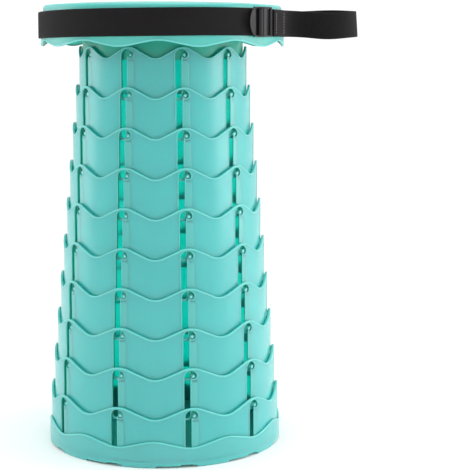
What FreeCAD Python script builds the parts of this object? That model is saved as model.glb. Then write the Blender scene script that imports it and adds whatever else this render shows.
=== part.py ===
import FreeCAD, Part
import math
import os
import PartDesign
import Sketcher

# Collapsible stool made of nested tubes, millimetres, +Z up, front towards -Y.
# The axis of the tubes is the Z axis and the stool stands on z = 0.
# Angles are counted about the axis from the front towards +X.

os.makedirs("parts", exist_ok=True)
doc = FreeCAD.newDocument("stool")
V = FreeCAD.Vector
ROT = FreeCAD.Rotation

# ---------------------------------------------------------------- dimensions
sheet = doc.addObject("Spreadsheet::Sheet", "dims")
VALUES = [
    # the nested tubes
    ("tube_count", 10), ("first_radius", 84.85), ("radial_pitch", 3.69),
    ("wall_thick", 2.2), ("rise_step", 38.6), ("top_ring_mid", 400.4),
    ("below_mid", 45.7), ("wave_half", 5.36), ("wave_count", 10),
    ("wave_roundness", 0.75), ("wave_lead", 1.0), ("tube_turn", 14.45),
    # hook slots, channels and lugs
    ("slot_half_width", 3.05), ("slot_centre_left", 6.35), ("slot_foot", 40.9),
    ("hook_drop", 2.1), ("hook_radius", 3.1), ("arch_left", 3.1),
    ("arch_drop", 3.0), ("lug_radius", 2.2), ("lug_stand", 2.7), ("lug_root", 0.5),
    ("channel_depth", 1.55), ("channel_foot", 44.6), ("lug_above_foot", 4.3),
    # core tube under the seat
    ("core_radius", 81.15), ("core_foot", 393.3), ("plate_under", 444.75),
    ("core_flange_thick", 3.0), ("core_flange_inner", 47.4),
    ("screw_circle", 53.2), ("boss_radius", 4.2), ("boss_length", 8.0),
    ("pilot_radius", 1.35), ("screw_count", 6),
    # seat lid
    ("skirt_radius", 122.8), ("skirt_inner", 120.7), ("skirt_mid", 408.8),
    ("skirt_wave", 2.88), ("skirt_turn", -19.6), ("rim_round", 3.0),
    ("draft_start", 417.0), ("rim_radius", 120.1), ("inner_draft_start", 413.5), ("inner_rim_radius", 118.5),
    ("rim_top", 446.4), ("seat_top", 449.2), ("cap_radius", 59.0),
    ("cap_recess_radius", 59.5), ("cap_thick", 2.6), ("cap_rib_inner", 44.5),
    ("cap_rib_outer", 47.0), ("cap_rib_depth", 1.85),
    ("finger_radius", 11.5), ("hole_round", 0.9), ("cap_round", 0.5), ("finger_offset", 27.0), ("finger_turn", -88.0),
    # screws
    ("screw_radius", 1.3), ("screw_head_radius", 3.0), ("screw_head_thick", 0.95),
    ("screw_clear_radius", 1.8), ("screw_sink_radius", 3.4),
    ("screw_sink_depth", 1.1), ("screw_length", 9.6),
    # base
    ("band_radius", 120.2), ("band_inner", 118.5), ("band_mid", 22.96),
    ("band_wave", 3.35), ("band_turn", -5.1), ("floor_under", 3.0),
    ("floor_top", 5.6), ("rim_edge", 1.0), ("pad_radius", 30.0),
    ("notch_count", 10), ("notch_width", 41.0), ("notch_height", 2.0),
    ("notch_step_start", 4.0), ("notch_step_width", 12.0), ("notch_step_height", 3.0),
    ("notch_turn", 5.6),
    ("rib_count", 10), ("rib_thick", 2.0), ("rib_turn", 28.9),
    ("flange_radius", 118.95), ("flange_thick", 1.8), ("groove_radius", 119.2),
    ("groove_top", 7.8), ("outer_foot", 5.6),
    # straps
    ("belt_foot", 415.4), ("strap_width", 26.3), ("belt_inner", 122.95),
    ("strap_thick", 1.35), ("belt_outer", 124.3), ("layer_radius", 125.1),
    ("loop_turn", 92.0), ("loop_reach", 198.0), ("loop_radius", 29.0),
    ("neck_radius", 20.0), ("handle_front_end", 32.4), ("handle_back_end", 27.0),
    ("tail_start", 147.0), ("tail_end", 124.0),
    # buckle
    ("buckle_turn", 47.8), ("buckle_height", 28.6), ("buckle_half_length", 17.3),
    ("buckle_thick", 2.4), ("buckle_back", 124.8),
    ("thread_radius", 0.35),
]
for row, (name, value) in enumerate(VALUES, 1):
    sheet.set("A%d" % row, name)
    sheet.set("B%d" % row, "%.10g" % value)
    sheet.setAlias("B%d" % row, name)
doc.recompute()
D = dict(VALUES)


def origin_plane(body, role):
    for feature in body.Origin.OriginFeatures:
        if feature.Role == role:
            return feature
    raise RuntimeError(role)


def new_body(label, turn=None):
    body = doc.addObject("PartDesign::Body", label)
    body.Label = label
    if turn is not None:
        body.Placement = FreeCAD.Placement(V(0, 0, 0), ROT(V(0, 0, 1), 0))
        body.setExpression("Placement.Rotation.Angle", turn)
    return body


def sketch_on(body, role, offset=None, spin=None, name="sketch"):
    """Sketch attached to one of the body's own origin planes."""
    sketch = body.newObject("Sketcher::SketchObject", name)
    sketch.AttachmentSupport = [(origin_plane(body, role), "")]
    sketch.MapMode = "FlatFace"
    if spin is not None:
        # turned about the global Z axis, which is the local Y of the XZ plane
        sketch.AttachmentOffset = FreeCAD.Placement(V(0, 0, 0), ROT(V(0, 1, 0), spin))
    if offset is not None and spin:
        # the offset runs along the turned normal
        sketch.setExpression("AttachmentOffset.Base.x", "(%s) * %.9f" % (offset, math.sin(math.radians(spin))))
        sketch.setExpression("AttachmentOffset.Base.z", "(%s) * %.9f" % (offset, math.cos(math.radians(spin))))
    elif offset is not None:
        sketch.setExpression("AttachmentOffset.Base.z", offset)
    return sketch


def circle(sketch, x, y, radius_expr, radius, x_expr=None, y_expr=None):
    i = sketch.addGeometry(Part.Circle(V(x, y, 0), V(0, 0, 1), radius))
    c = sketch.addConstraint(Sketcher.Constraint("Radius", i, radius))
    sketch.setExpression("Constraints[%d]" % c, radius_expr)
    if x_expr is None and y_expr is None and x == 0 and y == 0:
        sketch.addConstraint(Sketcher.Constraint("Coincident", i, 3, -1, 1))
        return i
    for kind, val, expr in (("DistanceX", x, x_expr), ("DistanceY", y, y_expr)):
        c = sketch.addConstraint(Sketcher.Constraint(kind, -1, 1, i, 3, val))
        if expr:
            sketch.setExpression("Constraints[%d]" % c, expr)
    return i


def polyline(sketch, points, exprs):
    """Closed outline of straight lines, every corner placed by two distances."""
    n = len(points)
    first = None
    for k in range(n):
        a, b = points[k], points[(k + 1) % n]
        i = sketch.addGeometry(Part.LineSegment(V(a[0], a[1], 0), V(b[0], b[1], 0)))
        if first is None:
            first = i
    for k in range(n):
        sketch.addConstraint(Sketcher.Constraint("Coincident", first + k, 2, first + (k + 1) % n, 1))
    for k in range(n):
        for kind, val, expr in (("DistanceX", points[k][0], exprs[k][0]),
                                ("DistanceY", points[k][1], exprs[k][1])):
            if abs(val) < 1e-9:
                if kind == "DistanceX":
                    sketch.addConstraint(Sketcher.Constraint("PointOnObject", first + k, 1, -2))
                else:
                    sketch.addConstraint(Sketcher.Constraint("PointOnObject", first + k, 1, -1))
                continue
            c = sketch.addConstraint(Sketcher.Constraint(kind, -1, 1, first + k, 1, val))
            sketch.setExpression("Constraints[%d]" % c, expr)
    return first


def pad(body, sketch, length_expr, reverse=False, name="pad"):
    f = body.newObject("PartDesign::Pad", name)
    f.Profile = sketch
    f.Reversed = reverse
    f.setExpression("Length", length_expr)
    body.Tip = f
    return f


def pocket(body, sketch, length_expr=None, reverse=False, name="pocket"):
    f = body.newObject("PartDesign::Pocket", name)
    f.Profile = sketch
    f.Reversed = reverse
    if length_expr is None:
        f.Type = 1
    else:
        f.setExpression("Length", length_expr)
    body.Tip = f
    return f


def revolve(body, sketch, name="turned", cut=False):
    f = body.newObject("PartDesign::Groove" if cut else "PartDesign::Revolution", name)
    f.Profile = sketch
    f.ReferenceAxis = (sketch, ["V_Axis"])
    f.Angle = 360.0
    body.Tip = f
    return f


def polar(body, features, count_expr, name="around"):
    doc.recompute()
    p = body.newObject("PartDesign::PolarPattern", name)
    p.Originals = features
    axis = None
    for feature in body.Origin.OriginFeatures:
        if feature.Role == "Z_Axis":
            axis = feature
    p.Axis = (axis, [""])
    p.Angle = 360.0
    body.Tip = p
    p.setExpression("Occurrences", count_expr)
    return p


def volume(body):
    doc.recompute()
    return body.Shape.Volume


def round_edges(body, chosen, radius_expr, name="rounded"):
    """Fillet on the edges of the body's tip that the test chooses."""
    doc.recompute()
    base = body.Tip
    names = ["Edge%d" % (i + 1) for i, e in enumerate(base.Shape.Edges) if chosen(e)]
    if not names:
        raise RuntimeError("no edge to round on " + body.Label)
    f = body.newObject("PartDesign::Fillet", name)
    f.Base = (base, names)
    f.Radius = 0.3
    f.setExpression("Radius", radius_expr)
    body.Tip = f
    return f


def flat_circle(z, radius):
    """Test for a level circular edge of that height and radius."""
    def chosen(e):
        c = e.Curve
        if not isinstance(c, Part.Circle):
            return False
        return (abs(abs(c.Axis.z) - 1) < 1e-6 and abs(c.Radius - radius) < 0.01
                and abs(e.BoundBox.Center.z - z) < 0.01)
    return chosen


def expect_less(before, body, what):
    after = volume(body)
    if not after < before - 1.0:
        raise RuntimeError("nothing was removed by " + what)
    return after


def expect_more(before, body, what):
    after = volume(body)
    if not after > before + 1.0:
        raise RuntimeError("nothing was added by " + what)
    return after


def wave_outline(sketch, half_width, mid, half_height, arc, top, flip=1.0):
    """Open side of a wavy edge: trough at x = 0, crests at +-half_width.

    Two tangent arcs and a straight flank make each half of the wave; the
    outline closes well past the edge, on the side given by top.
    """
    # slope of the straight flank from the arc radius
    lo, hi = 0.01, 1.2
    for _ in range(80):
        t = 0.5 * (lo + hi)
        run = half_width - 2 * arc * math.sin(t)
        rise = 2 * half_height - 2 * arc * (1 - math.cos(t))
        if run > 0 and rise > math.tan(t) * run:
            lo = t
        else:
            hi = t
        if run <= 0:
            hi = t
    t = 0.5 * (lo + hi)
    sx, sz = arc * math.sin(t), arc * (1 - math.cos(t))
    trough, crest = mid - flip * half_height, mid + flip * half_height
    c0 = V(0, trough + flip * arc, 0)
    cr = V(half_width, crest - flip * arc, 0)
    cl = V(-half_width, crest - flip * arc, 0)
    up = V(0, 0, 1)
    h = math.pi / 2
    if flip > 0:
        g = [
            Part.ArcOfCircle(Part.Circle(c0, up, arc), -h - t, -h + t),
            Part.LineSegment(V(sx, trough + sz, 0), V(half_width - sx, crest - sz, 0)),
            Part.ArcOfCircle(Part.Circle(cr, up, arc), h, h + t),
            Part.LineSegment(V(half_width, crest, 0), V(half_width + 1.5, crest, 0)),
            Part.LineSegment(V(half_width + 1.5, crest, 0), V(half_width + 1.5, top, 0)),
            Part.LineSegment(V(half_width + 1.5, top, 0), V(-half_width - 1.5, top, 0)),
            Part.LineSegment(V(-half_width - 1.5, top, 0), V(-half_width - 1.5, crest, 0)),
            Part.LineSegment(V(-half_width - 1.5, crest, 0), V(-half_width, crest, 0)),
            Part.ArcOfCircle(Part.Circle(cl, up, arc), h - t, h),
            Part.LineSegment(V(-half_width + sx, crest - sz, 0), V(-sx, trough + sz, 0)),
        ]
    else:
        g = [
            Part.ArcOfCircle(Part.Circle(c0, up, arc), h - t, h + t),
            Part.LineSegment(V(sx, trough - sz, 0), V(half_width - sx, crest + sz, 0)),
            Part.ArcOfCircle(Part.Circle(cr, up, arc), -h - t, -h),
            Part.LineSegment(V(half_width, crest, 0), V(half_width + 1.5, crest, 0)),
            Part.LineSegment(V(half_width + 1.5, crest, 0), V(half_width + 1.5, top, 0)),
            Part.LineSegment(V(half_width + 1.5, top, 0), V(-half_width - 1.5, top, 0)),
            Part.LineSegment(V(-half_width - 1.5, top, 0), V(-half_width - 1.5, crest, 0)),
            Part.LineSegment(V(-half_width - 1.5, crest, 0), V(-half_width, crest, 0)),
            Part.ArcOfCircle(Part.Circle(cl, up, arc), -h, -h + t),
            Part.LineSegment(V(-half_width + sx, crest + sz, 0), V(-sx, trough - sz, 0)),
        ]
    sketch.addGeometry(g)
    for i in range(len(g)):
        sketch.addConstraint(Sketcher.Constraint("Block", i))


def wave_size(radius, half_height):
    """Half the width of one wave on that radius, and the radius of its arcs."""
    w = radius * math.sin(math.pi / D["wave_count"])
    h = 2 * half_height
    return w, D["wave_roundness"] * (w * w + h * h) / (4 * h)


HALF_STEP = 180.0 / D["wave_count"]


def tube(label, k, lugs=True, slots=True, flange=False):
    """Tube number k of the nest, counted outwards from the core tube."""
    turn = "dims.tube_turn"
    body = new_body(label, turn)
    r_out = "(dims.first_radius + %d * dims.radial_pitch)" % (k - 1)
    r_in = "(%s - dims.wall_thick)" % r_out
    mid = "(dims.top_ring_mid - %d * dims.rise_step)" % (k - 1)
    ro = D["first_radius"] + (k - 1) * D["radial_pitch"]
    ri = ro - D["wall_thick"]
    zm = D["top_ring_mid"] - (k - 1) * D["rise_step"]
    foot = "(%s - dims.below_mid)" % mid
    if flange:
        foot = "dims.outer_foot"
    ring = sketch_on(body, "XY_Plane", foot, name="ring_outline")
    circle(ring, 0, 0, r_out, ro)
    circle(ring, 0, 0, r_in, ri)
    wall = pad(body, ring, "%s + dims.wave_half + 2 - %s" % (mid, foot), name="wall")
    v = volume(body)
    # wavy upper edge, one trough per cut, crests over the hooks
    # the crest stands a little to one side of the lug's pocket
    wave = sketch_on(body, "XZ_Plane", spin=HALF_STEP - D["wave_lead"], name="wave_outline")
    half_width, arc = wave_size(ro, D["wave_half"])
    wave_outline(wave, half_width, zm, D["wave_half"], arc, zm + D["wave_half"] + 6)
    cut = pocket(body, wave, "%s + 3" % r_out, reverse=True, name="trough")
    polar(body, [cut], "dims.wave_count", name="wavy_edge")
    v = expect_less(v, body, "wavy edge of " + label)
    if flange:
        fl = sketch_on(body, "XY_Plane", foot, name="bead_outline")
        circle(fl, 0, 0, "dims.flange_radius", D["flange_radius"])
        circle(fl, 0, 0, "%s - 0.6" % r_out, ro - 0.6)
        pad(body, fl, "dims.flange_thick", name="snap_bead")
        v = expect_more(v, body, "snap bead of " + label)
    if slots:
        # hook slot: a straight leg that turns over into a round pocket
        s = sketch_on(body, "XZ_Plane", "%s - 4" % r_in, name="hook_outline")
        hr, hd = D["hook_radius"], D["hook_drop"]
        al, ad = D["arch_left"], D["arch_drop"]
        sw = D["slot_half_width"]
        ar = math.hypot(al, ad - hd) + hr
        tang = math.atan2(ad - hd, al)
        left = -al - ar
        right = left + 2 * sw
        foot_z = zm - D["slot_foot"]
        up = V(0, 0, 1)
        end = math.radians(-150)
        pe = V(hr * math.cos(end), zm - hd + hr * math.sin(end), 0)
        nub = V(right, pe.y - 0.9, 0)
        g = [
            Part.ArcOfCircle(Part.Circle(V(-al, zm - ad, 0), up, ar), tang, math.pi),
            Part.LineSegment(V(left, zm - ad, 0), V(left, foot_z, 0)),
            Part.ArcOfCircle(Part.Circle(V(left + sw, foot_z, 0), up, sw), math.pi, 2 * math.pi),
            Part.LineSegment(V(right, foot_z, 0), nub),
            Part.LineSegment(nub, pe),
            Part.ArcOfCircle(Part.Circle(V(0, zm - hd, 0), up, hr), end, tang),
        ]
        s.addGeometry(g)
        for i in range(len(g)):
            s.addConstraint(Sketcher.Constraint("Block", i))
        hook = pocket(body, s, "dims.wall_thick + 8", reverse=True, name="hook_slot")
        # blind channel inside the wall below the hook
        c = sketch_on(body, "XZ_Plane", "%s - 1.5" % r_in, name="channel_outline")
        pts = [(-4.5, zm - D["hook_drop"]), (D["hook_radius"], zm - D["hook_drop"]),
               (D["hook_radius"], zm - D["channel_foot"]), (-4.5, zm - D["channel_foot"])]
        ex = [("-4.5", "%s - dims.hook_drop" % mid), ("dims.hook_radius", "%s - dims.hook_drop" % mid),
              ("dims.hook_radius", "%s - dims.channel_foot" % mid), ("-4.5", "%s - dims.channel_foot" % mid)]
        polyline(c, pts, ex)
        channel = pocket(body, c, "dims.channel_depth + 1.5", reverse=True, name="lug_channel")
        polar(body, [hook, channel], "dims.wave_count", name="hooks_around")
        v = expect_less(v, body, "hook slots of " + label)
    if lugs:
        # rooted in the thin wall left behind the channel, so that the next lug
        # inwards keeps its clearance when the tubes are down
        l = sketch_on(body, "XZ_Plane", "%s - dims.lug_root" % r_out, name="lug_outline")
        zl = zm - D["below_mid"] + D["lug_above_foot"]
        circle(l, 0.0, zl, "dims.lug_radius", D["lug_radius"], "0",
               "%s + dims.lug_above_foot" % foot)
        lug = pad(body, l, "dims.lug_stand + dims.lug_root", name="lug")
        polar(body, [lug], "dims.wave_count", name="lugs_around")
        v = expect_more(v, body, "lugs of " + label)
    return body


def strap_path(sketch, path, thick):
    """Outline of a strap of even thickness along a chain of tangent arcs.

    Each arc is (centre x, centre y, radius, start angle, end angle), in
    degrees, followed in the direction start to end.
    """
    up = V(0, 0, 1)
    edges, outer, inner = [], [], []
    for (cx, cy, r, a, b) in path:
        s = 1.0 if b > a else -1.0
        for side, store in ((1.0, outer), (-1.0, inner)):
            rr = r + side * s * thick / 2
            lo, hi = (a, b) if b > a else (b, a)
            store.append(Part.ArcOfCircle(Part.Circle(V(cx, cy, 0), up, rr),
                                          math.radians(lo), math.radians(hi)))

    def at(i, side, angle):
        cx, cy, r, a, b = path[i]
        s = 1.0 if b > a else -1.0
        rr = r + side * s * thick / 2
        t = math.radians(angle)
        return V(cx + rr * math.cos(t), cy + rr * math.sin(t), 0)

    edges = outer + inner
    edges.append(Part.LineSegment(at(0, 1.0, path[0][3]), at(0, -1.0, path[0][3])))
    edges.append(Part.LineSegment(at(-1, 1.0, path[-1][4]), at(-1, -1.0, path[-1][4])))
    sketch.addGeometry(edges)
    for i in range(len(edges)):
        sketch.addConstraint(Sketcher.Constraint("Block", i))


# ------------------------------------------------------------------ the base
base = new_body("base_shell", "dims.band_turn")
# the groove inside the band takes the outer tube's snap bead
s = sketch_on(base, "XZ_Plane", name="base_profile")
pts = [(0.0, D["floor_under"]), (D["band_inner"], D["floor_under"]),
       (D["band_inner"], 0.0), (D["band_radius"] - D["rim_edge"], 0.0),
       (D["band_radius"], D["rim_edge"]), (D["band_radius"], D["band_mid"] + D["band_wave"] + 2),
       (D["band_inner"], D["band_mid"] + D["band_wave"] + 2), (D["band_inner"], D["groove_top"]),
       (D["groove_radius"], D["groove_top"]), (D["groove_radius"], D["floor_top"]),
       (0.0, D["floor_top"])]
ex = [("0", "dims.floor_under"), ("dims.band_inner", "dims.floor_under"),
      ("dims.band_inner", "0"), ("dims.band_radius - dims.rim_edge", "0"),
      ("dims.band_radius", "dims.rim_edge"), ("dims.band_radius", "dims.band_mid + dims.band_wave + 2"),
      ("dims.band_inner", "dims.band_mid + dims.band_wave + 2"), ("dims.band_inner", "dims.groove_top"),
      ("dims.groove_radius", "dims.groove_top"), ("dims.groove_radius", "dims.floor_top"),
      ("0", "dims.floor_top")]
polyline(s, pts, ex)
revolve(base, s, name="turned_base")
v = volume(base)
wave = sketch_on(base, "XZ_Plane", spin=HALF_STEP, name="band_wave_outline")
half_width, arc = wave_size(D["band_radius"], D["band_wave"])
wave_outline(wave, half_width, D["band_mid"], D["band_wave"], arc, D["band_mid"] + D["band_wave"] + 6)
cut = pocket(base, wave, "dims.band_radius + 3", reverse=True, name="band_trough")
polar(base, [cut], "dims.wave_count", name="band_edge")
v = expect_less(v, base, "the wavy band")
# underside: centre pad ring and radial ribs, flush with the rim
s = sketch_on(base, "XY_Plane", name="centre_pad_outline")
circle(s, 0, 0, "dims.pad_radius", D["pad_radius"])
pad(base, s, "dims.floor_under + 0.5", name="centre_pad")
v = expect_more(v, base, "the centre pad")
s = sketch_on(base, "XY_Plane", "0.6", name="rib_outline")
hw = D["rib_thick"] / 2
ca, sa = math.cos(math.radians(D["rib_turn"] - 90)), math.sin(math.radians(D["rib_turn"] - 90))
pts = [(D["pad_radius"] - 2, -hw), (D["band_inner"] + 0.8, -hw), (D["band_inner"] + 0.8, hw), (D["pad_radius"] - 2, hw)]
pts = [(x * ca - y * sa, x * sa + y * ca) for x, y in pts]
s.addGeometry([Part.LineSegment(V(pts[i][0], pts[i][1], 0), V(pts[(i + 1) % 4][0], pts[(i + 1) % 4][1], 0)) for i in range(4)])
for i in range(4):
    s.addConstraint(Sketcher.Constraint("Block", i))
rib = pad(base, s, "dims.floor_under", name="rib")
polar(base, [rib], "dims.rib_count", name="ribs_around")
v = expect_more(v, base, "the ribs")
# notches in the rim, each with a taller step on its right
s = sketch_on(base, "XZ_Plane", "dims.band_inner - 3", spin=D["notch_turn"] - D["band_turn"], name="notch_outline")
nw, nh = D["notch_width"] / 2, D["notch_height"]
sh, sa, sb = D["notch_step_height"], D["notch_step_start"], D["notch_step_start"] + D["notch_step_width"]
pts = [(-nw, -1.0), (nw, -1.0), (nw, nh), (sb, nh), (sb, sh), (sa, sh), (sa, nh), (-nw, nh)]
s.addGeometry([Part.LineSegment(V(pts[i][0], pts[i][1], 0), V(pts[(i + 1) % 8][0], pts[(i + 1) % 8][1], 0)) for i in range(8)])
for i in range(8):
    s.addConstraint(Sketcher.Constraint("Block", i))
cut = pocket(base, s, "12", reverse=True, name="notch")
polar(base, [cut], "dims.notch_count", name="notches_around")
v = expect_less(v, base, "the notches")
# ------------------------------------------------------------------ the tubes
outer_tube = tube("outer_tube", 10, lugs=False, flange=True)
rings = [tube("ring_%02d" % k, k) for k in range(9, 0, -1)]

# core tube that hangs from the seat, with a flange for the lid's screws
core = new_body("core_tube", "dims.tube_turn")
s = sketch_on(core, "XZ_Plane", name="core_profile")
ci = D["core_radius"] - D["wall_thick"]
fz = D["plate_under"] - D["core_flange_thick"]
pts = [(ci, D["core_foot"]), (D["core_radius"], D["core_foot"]), (D["core_radius"], D["plate_under"]),
       (D["core_flange_inner"], D["plate_under"]), (D["core_flange_inner"], fz), (ci, fz)]
ex = [("dims.core_radius - dims.wall_thick", "dims.core_foot"), ("dims.core_radius", "dims.core_foot"),
      ("dims.core_radius", "dims.plate_under"), ("dims.core_flange_inner", "dims.plate_under"),
      ("dims.core_flange_inner", "dims.plate_under - dims.core_flange_thick"),
      ("dims.core_radius - dims.wall_thick", "dims.plate_under - dims.core_flange_thick")]
polyline(s, pts, ex)
revolve(core, s, name="turned_core")
v = volume(core)
s = sketch_on(core, "XY_Plane", "dims.plate_under - dims.core_flange_thick - dims.boss_length", name="boss_outline")
sc = math.radians(D["skirt_turn"] + 18 - D["tube_turn"])
sx, sy = D["screw_circle"] * math.cos(sc), D["screw_circle"] * math.sin(sc)
SXE = "dims.screw_circle * cos(dims.skirt_turn + 18 - dims.tube_turn)"
SYE = "dims.screw_circle * sin(dims.skirt_turn + 18 - dims.tube_turn)"
circle(s, sx, sy, "dims.boss_radius", D["boss_radius"], SXE, SYE)
boss = pad(core, s, "dims.boss_length + 1", name="screw_boss")
polar(core, [boss], "dims.screw_count", name="bosses_around")
v = expect_more(v, core, "the screw bosses")
s = sketch_on(core, "XY_Plane", "dims.plate_under", name="pilot_outline")
circle(s, sx, sy, "dims.pilot_radius", D["pilot_radius"], SXE, SYE)
pilot = pocket(core, s, "dims.core_flange_thick + dims.boss_length - 1", name="pilot_hole")
polar(core, [pilot], "dims.screw_count", name="pilots_around")
v = expect_less(v, core, "the pilot holes")
s = sketch_on(core, "XZ_Plane", "dims.core_radius - 1", name="lug_outline")
circle(s, 0.0, D["core_foot"] + D["lug_above_foot"], "dims.lug_radius", D["lug_radius"], "0",
       "dims.core_foot + dims.lug_above_foot")
lug = pad(core, s, "dims.lug_stand + 1", name="lug")
polar(core, [lug], "dims.wave_count", name="lugs_around")
v = expect_more(v, core, "the core tube's lugs")

# ------------------------------------------------------------------ the seat
lid = new_body("seat_lid", "dims.skirt_turn + 18")
s = sketch_on(lid, "XZ_Plane", name="lid_profile")
up = V(0, 0, 1)
R, ri = D["skirt_radius"], D["skirt_inner"]
zlow = D["skirt_mid"] - D["skirt_wave"] - 2
zt, rr = D["rim_top"], D["rim_round"]
zr = D["seat_top"] - D["cap_thick"]
ledge, cr = D["cap_recess_radius"], D["core_flange_inner"]
pu = D["plate_under"]
# gently crowned top: arc through the rim and the recess edge, level at the edge of the recess
# the wall leans in above the skirt, where the belt lies, on both faces
zs, zi, rt = D["draft_start"], D["inner_draft_start"], D["inner_rim_radius"]
lean = math.atan2(R - D["rim_radius"], zt - rr - zs)
xa, za = R - (zt - rr - zs) * math.tan(lean) - rr / math.cos(lean), zt
xb, zb = ledge, D["seat_top"] - 0.1
rad = ((xa - xb) ** 2 + (zb - za) ** 2) / (2 * (zb - za))
crown = Part.ArcOfCircle(Part.Circle(V(xb, zb - rad, 0), up, rad),
                         math.atan2(za - (zb - rad), xa - xb), math.pi / 2)
g = [
    Part.LineSegment(V(ri, zlow, 0), V(R, zlow, 0)),
    Part.LineSegment(V(R, zlow, 0), V(R, zs, 0)),
    Part.LineSegment(V(R, zs, 0), V(xa + rr * math.cos(lean), zt - rr + rr * math.sin(lean), 0)),
    Part.ArcOfCircle(Part.Circle(V(xa, zt - rr, 0), up, rr), lean, math.pi / 2),
    crown,
    Part.LineSegment(V(xb, zb, 0), V(xb, zr, 0)),
    Part.LineSegment(V(xb, zr, 0), V(cr, zr, 0)),
    Part.LineSegment(V(cr, zr, 0), V(cr, pu, 0)),
    Part.LineSegment(V(cr, pu, 0), V(rt, pu, 0)),
    Part.LineSegment(V(rt, pu, 0), V(ri, zi, 0)),
    Part.LineSegment(V(ri, zi, 0), V(ri, zlow, 0)),
]
s.addGeometry(g)
for i in range(len(g)):
    s.addConstraint(Sketcher.Constraint("Block", i))
revolve(lid, s, name="turned_lid")
v = volume(lid)
wave = sketch_on(lid, "XZ_Plane", name="skirt_wave_outline")
half_width, arc = wave_size(R, D["skirt_wave"])
wave_outline(wave, half_width, D["skirt_mid"], D["skirt_wave"], arc,
             D["skirt_mid"] - D["skirt_wave"] - 8, flip=-1.0)
cut = pocket(lid, wave, "dims.skirt_radius + 3", reverse=True, name="skirt_trough")
polar(lid, [cut], "dims.wave_count", name="skirt_edge")
v = expect_less(v, lid, "the skirt's wavy edge")
s = sketch_on(lid, "XY_Plane", "dims.seat_top - dims.cap_thick", name="screw_hole_outline")
circle(s, D["screw_circle"], 0.0, "dims.screw_clear_radius", D["screw_clear_radius"], "dims.screw_circle", None)
hole = pocket(lid, s, "6", name="screw_hole")
s = sketch_on(lid, "XY_Plane", "dims.seat_top - dims.cap_thick", name="screw_sink_outline")
circle(s, D["screw_circle"], 0.0, "dims.screw_sink_radius", D["screw_sink_radius"], "dims.screw_circle", None)
sink = pocket(lid, s, "dims.screw_sink_depth", name="screw_sink")
polar(lid, [hole, sink], "dims.screw_count", name="screw_holes_around")
v = expect_less(v, lid, "the screw holes")

cap = new_body("centre_cap", "dims.finger_turn")
s = sketch_on(cap, "XY_Plane", "dims.seat_top - dims.cap_thick", name="cap_outline")
circle(s, 0, 0, "dims.cap_radius", D["cap_radius"])
pad(cap, s, "dims.cap_thick", name="cap_disc")
v = volume(cap)
s = sketch_on(cap, "XY_Plane", "dims.seat_top - dims.cap_thick - dims.cap_rib_depth", name="cap_rib_outline")
circle(s, 0, 0, "dims.cap_rib_outer", D["cap_rib_outer"])
circle(s, 0, 0, "dims.cap_rib_inner", D["cap_rib_inner"])
pad(cap, s, "dims.cap_rib_depth + 0.5", name="cap_rib")
v = expect_more(v, cap, "the cap's locating rib")
s = sketch_on(cap, "XY_Plane", "dims.seat_top", name="finger_outline")
circle(s, D["finger_offset"], 0.0, "dims.finger_radius", D["finger_radius"], "dims.finger_offset", None)
hole = pocket(cap, s, "dims.cap_thick + 2", name="finger_hole")
p = polar(cap, [hole], "2", name="finger_holes")
v = expect_less(v, cap, "the finger holes")
round_edges(cap, flat_circle(D["seat_top"], D["finger_radius"]), "dims.hole_round", "hole_edges")
v = expect_less(v, cap, "the rounded hole edges")
round_edges(cap, flat_circle(D["seat_top"], D["cap_radius"]), "dims.cap_round", "cap_edge")
v = expect_less(v, cap, "the rounded cap edge")

# six pan-head screws under the cap, as one named group
pieces = []
for n in range(int(D["screw_count"])):
    angle = "(dims.skirt_turn + 18 + %d)" % (60 * n)
    for what, r_expr, h_expr, z_expr in (
            ("head", "dims.screw_head_radius", "dims.screw_head_thick",
             "dims.seat_top - dims.cap_thick - dims.screw_sink_depth"),
            ("shank", "dims.screw_radius", "dims.screw_length",
             "dims.seat_top - dims.cap_thick - dims.screw_sink_depth - dims.screw_length + 0.4")):
        c = doc.addObject("Part::Cylinder", "screw_%s_%d" % (what, n))
        c.setExpression("Radius", r_expr)
        c.setExpression("Height", h_expr)
        c.setExpression("Placement.Base.x", "dims.screw_circle * cos(%s)" % angle)
        c.setExpression("Placement.Base.y", "dims.screw_circle * sin(%s)" % angle)
        c.setExpression("Placement.Base.z", z_expr)
        pieces.append(c)
screws = doc.addObject("Part::MultiFuse", "lid_screws")
screws.Label = "lid_screws"
screws.Shapes = pieces

# ------------------------------------------------------------------ the straps
belt = new_body("belt_webbing")
s = sketch_on(belt, "XY_Plane", "dims.belt_foot", name="belt_outline")
circle(s, 0, 0, "dims.belt_outer", D["belt_outer"])
circle(s, 0, 0, "dims.belt_inner", D["belt_inner"])
pad(belt, s, "dims.strap_width", name="belt")

rb, r1, r2 = D["layer_radius"], D["loop_radius"], D["neck_radius"]
c1 = D["loop_reach"] - r1
theta = math.degrees(math.asin(((r1 + r2) ** 2 + c1 ** 2 - (rb + r2) ** 2) / (2 * c1 * (r1 + r2))))
nx = (r1 + r2) * math.cos(math.radians(theta))
ny = c1 - (r1 + r2) * math.sin(math.radians(theta))
foot_angle = math.degrees(math.atan2(ny, nx))
handle = new_body("carry_handle", "dims.loop_turn - 180")
s = sketch_on(handle, "XY_Plane", "dims.belt_foot", name="handle_outline")
strap_path(s, [
    (0, 0, rb, 90 - D["handle_front_end"], foot_angle),
    (nx, ny, r2, foot_angle + 180, 180 - theta),
    (0, c1, r1, -theta, 180 + theta),
    (-nx, ny, r2, theta, -foot_angle),
    (0, 0, rb, 180 - foot_angle, 90 + D["handle_back_end"]),
], D["strap_thick"])
pad(handle, s, "dims.strap_width", name="handle_loop")

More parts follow.
